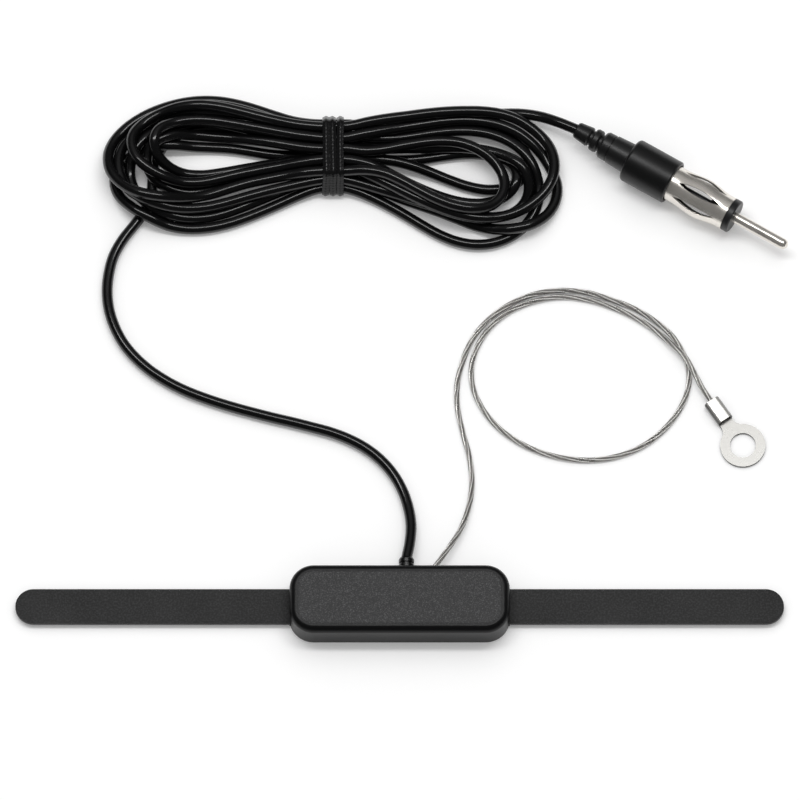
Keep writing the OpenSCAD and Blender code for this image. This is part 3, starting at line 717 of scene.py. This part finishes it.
def plain(name, colour, roughness, metallic=0.0, grain_mm=0.4, depth=0.12, height_mm=0.01, **more):
    """A finish with fine grain in its colour, gloss and surface"""
    finish = Finish(name)
    grain = finish.noise(grain_mm, 3)
    broad = finish.noise(grain_mm * 14, 2)
    return finish.lay(
        finish.shaded(grain, colour, depth), roughness + (broad - 0.5) * 0.12, metallic,
        normal=finish.bump(grain, height_mm), **more)


def cover_finish(looks):
    """Grained panel on the top, painted far lighter than the edge as its sheen and speckled with painted
    glints; smooth and darker round the edge
    """
    finish = Finish("cover_plastic")
    x, y, z = finish.axes()
    dx = (abs(x) - (PANEL_HALF_X - PANEL_CORNER)).most(0)
    dy = (abs(y) - (PANEL_HALF_Y - PANEL_CORNER)).most(0)
    edge = PANEL_CORNER - (dx * dx + dy * dy).root()
    panel = finish.ramp(edge / 1.2 + 0.4, [(0.1, 0), (0.9, 1)]) * (z > PANEL_LEAST_Z)
    rim = finish.ramp(abs(edge) * 2.2, [(0, 1), (1, 0)]) * (z > PANEL_LEAST_Z)
    grain = finish.noise(0.42, 3, 0.65)
    painted_glints = finish.speckle(0.3, 0.5, 0.75)
    # Painted sheen and glints: the panel colour is lighter than the edge's, and its speckles lighter still
    panel_with_painted_sheen = finish.mix(painted_glints, [c * 0.8 for c in looks.panel], [c * 2.3 for c in looks.panel])
    wall_grain = finish.shaded(finish.noise(0.35, 2), looks.gloss_band, 0.25)
    colour = finish.mix(panel, wall_grain, panel_with_painted_sheen)
    height = grain * panel * 0.09 + finish.noise(0.3, 2) * 0.006 - rim * 0.05
    rough = 0.32 + panel * 0.26 + (finish.noise(9) - 0.5) * 0.1
    return finish.lay(colour, rough, normal=finish.bump(height), specular=0.22)


def strip_finish(looks):
    """Matt vinyl with a fine leather-like grain, speckled with painted glints"""
    finish = Finish("strip_vinyl")
    grain = finish.noise(0.7, 3, 0.6)
    painted_glints = finish.speckle(0.55, 0.44, 0.66)
    # Painted glints: the grain's speckles run from darker to much lighter than the vinyl
    colour = finish.mix(painted_glints, [c * 0.3 for c in looks.strip], [c * 2.6 for c in looks.strip])
    rough = 0.55 + (finish.noise(12) - 0.5) * 0.12
    return finish.lay(colour, rough, normal=finish.bump(grain, 0.14))


def jacket_finish(looks):
    """Glossy black vinyl with a faint extrusion waviness"""
    finish = Finish("cable_jacket")
    wave = finish.noise(5, 2)
    dust = finish.noise(0.5, 3)
    rough = 0.16 + (wave - 0.5) * 0.08 + (dust - 0.5) * 0.04
    height = wave * 0.006 + dust * 0.0005
    return finish.lay(finish.shaded(dust, looks.jacket, 0.3), rough, normal=finish.bump(height))


def nickel_finish(looks):
    """Bright plate with faint drawing marks along the plug, rougher in the bore and painted near black there
    as shade
    """
    finish = Finish("nickel")
    turn = math.radians(PLUG_TURN)
    x, y, z = finish.axes()
    along = (x - PLUG_AT[0]) * math.cos(turn) + (y - PLUG_AT[1]) * math.sin(turn)
    across = (y - PLUG_AT[1]) * math.cos(turn) - (x - PLUG_AT[0]) * math.sin(turn)
    up = z - PLUG_AT[2]
    reach = (across * across + up * up).root()
    swing = ((abs(along - BULGE_MIDDLE) / BULGE_HALF).least(1) * math.pi).cosine()
    bulge = swing * (BULGE_GROWS / 2) + BULGE_GROWS / 2
    inside = (reach < bulge + BORE_RADIUS) * (along < BARREL_END)
    marks = finish.noise(0.2, 2, vector=finish.stretched((14, 1, 1), turn))
    broad = finish.noise(6, 2)
    plate = finish.mix(broad, [c * 0.86 for c in looks.nickel], [min(1, c * 1.1) for c in looks.nickel])
    # Painted shade: within the bore the plate turns near black and not metallic
    colour = finish.mix(inside, plate, (0.012, 0.011, 0.01))
    rough = 0.22 + (marks - 0.5) * 0.14 + (broad - 0.5) * 0.08 + inside * 0.4
    return finish.lay(colour, rough, (1 - inside) * 0.82, normal=finish.bump(marks, 0.012))


def tin_finish(looks):
    """Bright tin plate with soft rolling marks; its upright walls are painted near black as shade, and parts
    above about 2 mm are painted lighter than the flat ring as the crimp's highlight
    """
    finish = Finish("tinned_sheet")
    marks = finish.noise(0.3, 2, vector=finish.stretched((9, 1, 1), math.radians(TERMINAL_TURN)))
    broad = finish.noise(4, 3)
    upright = finish.upright()
    # Painted highlight: parts above about 2 mm are lighter than the flat ring below
    raised = finish.ramp(finish.axes()[2] / 4, [(0.4, 0), (0.55, 1)])
    flat = finish.mix(raised, [c * 0.62 for c in looks.tin], looks.tin)
    # Painted shade: upright walls are mixed to a tenth of the tin colour
    colour = finish.mix(upright, finish.mix(broad * 0.3, flat, [c * 0.6 for c in looks.tin]),
                        [c * 0.1 for c in looks.tin])
    rough = 0.3 + (marks - 0.5) * 0.16 + (broad - 0.5) * 0.12
    return finish.lay(colour, rough, 0.75, normal=finish.bump(marks, 0.002))


def strand_finish():
    """Tinned copper: silver grey, a little warm, with every other strand painted dark as the shade between
    strands
    """
    finish = Finish("tinned_strands")
    shade_flag = finish.add("ShaderNodeAttribute", {"attribute_name": "strand_tone"}, output="Fac")
    patch = finish.noise(3, 3)
    fine = finish.noise(0.3, 2)
    # Painted shade: flagged strands get this dark colour, with random patches in it
    strand_shade_colour = finish.shaded(patch, (0.26, 0.25, 0.24), 0.4)
    colour = finish.mix(finish.ramp(shade_flag, [(0.25, 0), (0.75, 1)]), strand_shade_colour, (0.8, 0.79, 0.76))
    return finish.lay(colour, 0.3 + (patch - 0.5) * 0.2, 0.75, normal=finish.bump(fine, 0.01))


def tie_finish():
    """Black vinyl ribbon with fine cross ribs"""
    finish = Finish("tie_vinyl")
    x, y, z = finish.axes()
    ribs = (y * 5.2 + z * 5.2).sine() * 0.5 + 0.5
    grain = finish.noise(0.5, 3)
    colour = finish.shaded(grain, (0.005, 0.005, 0.0053), 0.35)
    height = ribs * 0.02 + grain * 0.05
    return finish.lay(colour, 0.24 + (grain - 0.5) * 0.2, normal=finish.bump(height), specular=0.34)


def foam_finish():
    """Closed-cell foam with small pores"""
    finish = Finish("foam_tape")
    pores = finish.add("ShaderNodeTexVoronoi", {"feature": "F1"}, {
        "Vector": finish.place, "Scale": 2600.0}, output="Distance")
    return finish.lay(finish.shaded(pores, (0.03, 0.03, 0.03), 0.4), 0.85, normal=finish.bump(pores, 0.05))


def winding_finish():
    """Enamelled copper turns between the two ferrite flanges, with painted shade between the turns"""
    finish = Finish("winding_copper")
    z = finish.axes()[2]
    turns = (z * 22).sine() * 0.5 + 0.5
    wound = (z > WINDING_FROM) * (z < WINDING_TO)
    # Painted shade: the copper darkens in the grooves between the turns, where the bump sinks
    colour = finish.mix(wound, (0.05, 0.048, 0.046), finish.shaded(turns, (0.55, 0.24, 0.1), 0.3))
    return finish.lay(colour, 0.35, wound * 0.8, normal=finish.bump(turns * wound, 0.05))


def board_finish():
    """Green resist with paler tracks under it and a few tinned pads"""
    finish = Finish("board_laminate")
    x, y, z = finish.axes()
    tracks = finish.ramp((x * 0.9 + (y * 0.7).sine() * 1.4).sine() * (y * 1.1).sine(), [(0.1, 0), (0.2, 1)])
    weave = (x * 16).sine() * (y * 16).sine() * 0.5 + 0.5
    colour = finish.mix(tracks, (0.02, 0.11, 0.05), (0.05, 0.24, 0.11))
    return finish.lay(colour, 0.3 + weave * 0.1, normal=finish.bump(tracks + weave * 0.1, 0.03))


def resistor_finish():
    """Beige lacquer with painted rings round the body"""
    finish = Finish("resistor_lacquer")
    x = finish.axes()[0]
    rings = (x * 7.5).sine() > 0.55
    grain = finish.noise(0.4, 2)
    colour = finish.mix(rings, finish.shaded(grain, (0.6, 0.5, 0.33), 0.1), (0.22, 0.07, 0.03))
    return finish.lay(colour, 0.3, normal=finish.bump(grain, 0.01), coat=0.4)


def studio_floor(name):
    """White paper: lit paper looks white to the camera and keeps the soft shadows"""
    finish = Finish(name)
    paper = finish.noise(3, 2)
    rays = finish.add("ShaderNodeLightPath", output=None)
    seen = Wire(finish, rays.outputs["Is Camera Ray"]).most(Wire(finish, rays.outputs["Is Glossy Ray"]))
    seen = seen.most(Wire(finish, rays.outputs["Is Transmission Ray"]))
    diffuse = finish.add("ShaderNodeBsdfDiffuse", sockets={
        "Color": finish.shaded(paper, (0.9, 0.9, 0.9), 0.004)})
    glow = finish.add("ShaderNodeEmission", sockets={"Color": (1, 1, 1, 1), "Strength": seen * FLOOR_GLOW})
    both = finish.add("ShaderNodeAddShader", sockets={0: diffuse, 1: glow})
    finish.add("ShaderNodeOutputMaterial", sockets={"Surface": both}, output=None)
    return finish.material


def area_lamp(name, place, aim, size, power):
    """A rectangular lamp that points at a place"""
    lamp = bpy.data.lights.new(name, "AREA")
    lamp.shape = "RECTANGLE"
    lamp.size, lamp.size_y = size
    lamp.energy = power
    holder = bpy.data.objects.new(name, lamp)
    holder.location = place
    holder.rotation_euler = (Vector(aim) - Vector(place)).to_track_quat("-Z", "Y").to_euler()
    bpy.context.scene.collection.objects.link(holder)


def dress(material, *names):
    """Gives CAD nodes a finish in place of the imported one"""
    for name in names:
        for slot in NODES[name].material_slots:
            slot.material = material


class ANTENNA_OT_studio(bpy.types.Operator):
    """Set up the camera, the white table and the lamps"""

    bl_idname = "antenna.studio"
    bl_label = "Set Up Studio"

    def execute(self, context):
        scene = context.scene
        settings = scene.antenna_studio
        scene.view_settings.view_transform = "Standard"
        camera = bpy.data.cameras.new("camera")
        camera.type = "ORTHO"
        camera.ortho_scale = settings.view_width
        camera.clip_start = 0.05
        elevation = settings.elevation
        backwards = Vector((0, -math.cos(elevation), math.sin(elevation)))
        holder = bpy.data.objects.new("camera", camera)
        holder.location = CAMERA_AIM + settings.distance * backwards
        holder.rotation_euler = Euler((math.pi / 2 - elevation, 0, 0))
        scene.collection.objects.link(holder)
        scene.camera = holder
        mesh = bpy.data.meshes.new("table")
        corners = [(x * TABLE_HALF, y * TABLE_HALF, 0) for x, y in ((-1, -1), (1, -1), (1, 1), (-1, 1))]
        mesh.from_pydata(corners, [], [(0, 1, 2, 3)])
        mesh.materials.append(studio_floor("table_paper"))
        table = bpy.data.objects.new("table", mesh)
        scene.collection.objects.link(table)
        self.light_room(scene, settings)
        towards = Vector((0, math.cos(SOFTBOX_ELEVATION), math.sin(SOFTBOX_ELEVATION)))
        place = SOFTBOX_AIM + SOFTBOX_DISTANCE * towards
        area_lamp("softbox", place, SOFTBOX_AIM, SOFTBOX_SIZE, settings.softbox)
        return {"FINISHED"}

    def light_room(self, scene, settings):
        """A room with a bright ceiling behind the object; glossy surfaces see it dark round the softbox"""
        world = bpy.data.worlds.new("room")
        scene.world = world
        world.use_nodes = True
        room = Graph(world.node_tree)
        room.tree.nodes.clear()
        towards = room.add("ShaderNodeTexCoord", output="Generated")
        facing = room.add("ShaderNodeVectorMath", {"operation": "DOT_PRODUCT"}, {
            0: towards, 1: (0, math.cos(CEILING_ELEVATION), math.sin(CEILING_ELEVATION))}, output="Value")
        stops = list(zip(CEILING_FADE, (0, 1)))
        ceiling = room.add("ShaderNodeValToRGB", {"stops": stops}, {0: facing})
        rays = room.add("ShaderNodeLightPath", output=None)
        seen = Wire(room, rays.outputs["Is Camera Ray"])
        glossy = Wire(room, rays.outputs["Is Glossy Ray"])
        soft = ROOM_LIGHT + ceiling * settings.world_light
        dark = ROOM_REFLECTED + ceiling * CEILING_REFLECTED
        strength = seen + (1 - seen) * (glossy * dark + (1 - glossy) * soft)
        back = room.add("ShaderNodeBackground", sockets={"Color": (1, 1, 1, 1), "Strength": strength})
        room.add("ShaderNodeOutputWorld", sockets={"Surface": back}, output=None)


class ANTENNA_OT_coax(bpy.types.Operator):
    """Lay the coaxial cable from the box through its tied hank to the plug, with the tie round it"""

    bl_idname = "antenna.coax"
    bl_label = "Lay Coaxial Cable"

    def execute(self, context):
        scene = context.scene
        sizes = scene.antenna_cable
        path = hank_path(sizes)
        # About every third station becomes a knot of the curve
        knots = path[np.linspace(0, len(path) - 1, len(path) // 3).round().astype(int)]
        jacket = jacket_finish(scene.antenna_finishes)
        cord = smooth_curve("coax_cable", knots * MM, sizes.diameter, jacket)
        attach(cord, "root")
        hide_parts("coax_lead", "coax_hank", "coax_tail")
        tie = self.wrap_tie(scene.antenna_tie, path, sizes.diameter / MM)
        return {"FINISHED"}

    def wrap_tie(self, tie_sizes, path, diameter):
        """Pulls the tie round the cables that pass through it"""
        near_tie = 2.5
        near = (np.abs(path[:, 0] - TIE_X) < near_tie) & (path[:, 1] > TIE_LEAST_Y)
        half_thickness = 0.5 * tie_sizes.thickness / MM
        ring = outline_round(path[near][:, 1:], diameter / 2 + half_thickness)
        ring[:, 1] = np.maximum(ring[:, 1], half_thickness)
        line = polyline("tie_line", [(TIE_X * MM, y * MM, z * MM) for y, z in [*ring, ring[0]]])
        bpy.context.view_layer.update()
        tie = tie_tree().run(line, {
            "Wraps": tie_sizes.wraps, "Width": tie_sizes.width, "Thickness": tie_sizes.thickness,
            "Material": tie_finish()}, "twist_tie")
        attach(tie, "root")
        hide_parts("hank_tie")
        return tie


class ANTENNA_OT_earth_wire(bpy.types.Operator):
    """Twist the strands of the earth wire along its route to the ring terminal"""

    bl_idname = "antenna.earth_wire"
    bl_label = "Lay Earth Wire"

    def execute(self, context):
        sizes = context.scene.antenna_wire
        path = spline_through(WIRE_ROUTE, 0.7) * MM
        finish = strand_finish()
        wire = strand_tree().run(polyline("wire_line", path), {
            "Strands": sizes.strands, "Wire Radius": sizes.diameter / 2, "Lay Length": sizes.pitch,
            "Material": finish}, "earth_strands")
        dress(finish, "wire_entry", "crimped_strands")
        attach(wire, "root")
        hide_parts("earth_wire")
        return {"FINISHED"}


class ANTENNA_OT_housing(bpy.types.Operator):
    """Finish the amplifier box, its tape and the collar round the cable"""

    bl_idname = "antenna.housing"
    bl_label = "Finish Housing"

    def execute(self, context):
        looks = context.scene.antenna_finishes
        dress(cover_finish(looks), "housing_cover")
        dress(plain("base_plastic", (0.02, 0.02, 0.021), 0.45), "housing_base")
        dress(foam_finish(), "housing_tape", "strip_foam_left", "strip_foam_right")
        dress(plain("grommet_vinyl", (0.003, 0.003, 0.0032), 0.22, grain_mm=0.3), "cable_grommet")
        return {"FINISHED"}


class ANTENNA_OT_strips(bpy.types.Operator):
    """Finish the two stick-on strips and the foil in them"""

    bl_idname = "antenna.strips"
    bl_label = "Finish Strips"

    def execute(self, context):
        dress(strip_finish(context.scene.antenna_finishes), "strip_left", "strip_right")
        dress(plain("foil", (0.75, 0.74, 0.72), 0.25, 1.0, grain_mm=1.5), "foil_left", "foil_right")
        return {"FINISHED"}


class ANTENNA_OT_plug(bpy.types.Operator):
    """Finish the aerial plug"""

    bl_idname = "antenna.plug"
    bl_label = "Finish Plug"

    def execute(self, context):
        looks = context.scene.antenna_finishes
        dress(nickel_finish(looks), "plug_barrel", "plug_pin")
        dress(plain("boot_vinyl", (0.006, 0.006, 0.0063), 0.36, grain_mm=0.5, height_mm=0.02), "plug_boot")
        sleeve = plain(
            "sleeve_plastic", (0.004, 0.004, 0.0042), 0.36, grain_mm=0.25, height_mm=0.008, specular=0.4)
        dress(sleeve, "plug_sleeve")
        dress(plain("insulator_plastic", (0.009, 0.009, 0.0093), 0.38), "plug_insulator")
        dress(jacket_finish(looks), "plug_cable_end", "coax_entry")
        return {"FINISHED"}


class ANTENNA_OT_terminal(bpy.types.Operator):
    """Finish the ring terminal and the strap that holds the cable"""

    bl_idname = "antenna.terminal"
    bl_label = "Finish Terminal"

    def execute(self, context):
        dress(tin_finish(context.scene.antenna_finishes), "ring_terminal", "cable_clamp")
        return {"FINISHED"}


class ANTENNA_OT_amplifier(bpy.types.Operator):
    """Finish the board and its parts inside the box"""

    bl_idname = "antenna.amplifier"
    bl_label = "Finish Amplifier"

    def execute(self, context):
        dress(board_finish(), "circuit_board")
        dress(plain("component_resin", (0.02, 0.02, 0.021), 0.5, grain_mm=0.15), "amplifier_transistor")
        dress(winding_finish(), "choke_coil")
        dress(plain("can_sleeve", (0.03, 0.06, 0.2), 0.28, coat=0.3), "supply_capacitor")
        dress(plain("ceramic", (0.55, 0.28, 0.08), 0.4, coat=0.2), "input_capacitor", "output_capacitor")
        dress(resistor_finish(), "bias_resistor", "feed_resistor")
        dress(plain("eyelet_brass", (0.72, 0.58, 0.32), 0.25, 1.0), "eyelet_left", "eyelet_right")
        return {"FINISHED"}


STEPS = (
    ANTENNA_OT_studio, ANTENNA_OT_coax, ANTENNA_OT_earth_wire, ANTENNA_OT_housing, ANTENNA_OT_strips,
    ANTENNA_OT_plug, ANTENNA_OT_terminal, ANTENNA_OT_amplifier)
GROUPS = {
    "antenna_cable": CableSizes, "antenna_wire": WireSizes, "antenna_tie": TieSizes,
    "antenna_finishes": Finishes, "antenna_studio": StudioSettings}


class ANTENNA_PT_panel(bpy.types.Panel):
    """Lists the steps and the sizes of the antenna"""

    bl_idname = "ANTENNA_PT_panel"
    bl_label = "Hidden Car Antenna"
    bl_space_type = "VIEW_3D"
    bl_region_type = "UI"
    bl_category = "Antenna"

    def draw(self, context):
        for name, group in GROUPS.items():
            box = self.layout.box()
            for field in group.__annotations__:
                box.prop(getattr(context.scene, name), field)
        for step in STEPS:
            self.layout.operator(step.bl_idname)


def register():
    """Registers the groups, the steps and the panel"""
    for kind in (*GROUPS.values(), *STEPS, ANTENNA_PT_panel):
        bpy.utils.register_class(kind)
    for name, group in GROUPS.items():
        setattr(bpy.types.Scene, name, bpy.props.PointerProperty(type=group))


def unregister():
    """Takes them away again"""
    for name in GROUPS:
        delattr(bpy.types.Scene, name)
    for kind in (ANTENNA_PT_panel, *reversed(STEPS), *reversed(GROUPS.values())):
        bpy.utils.unregister_class(kind)


def main():
    """Runs every step in order"""
    register()
    for step in STEPS:
        group, name = step.bl_idname.split(".")
        getattr(getattr(bpy.ops, group), name)()
    bpy.context.view_layer.update()


if __name__ == "__main__":
    main()
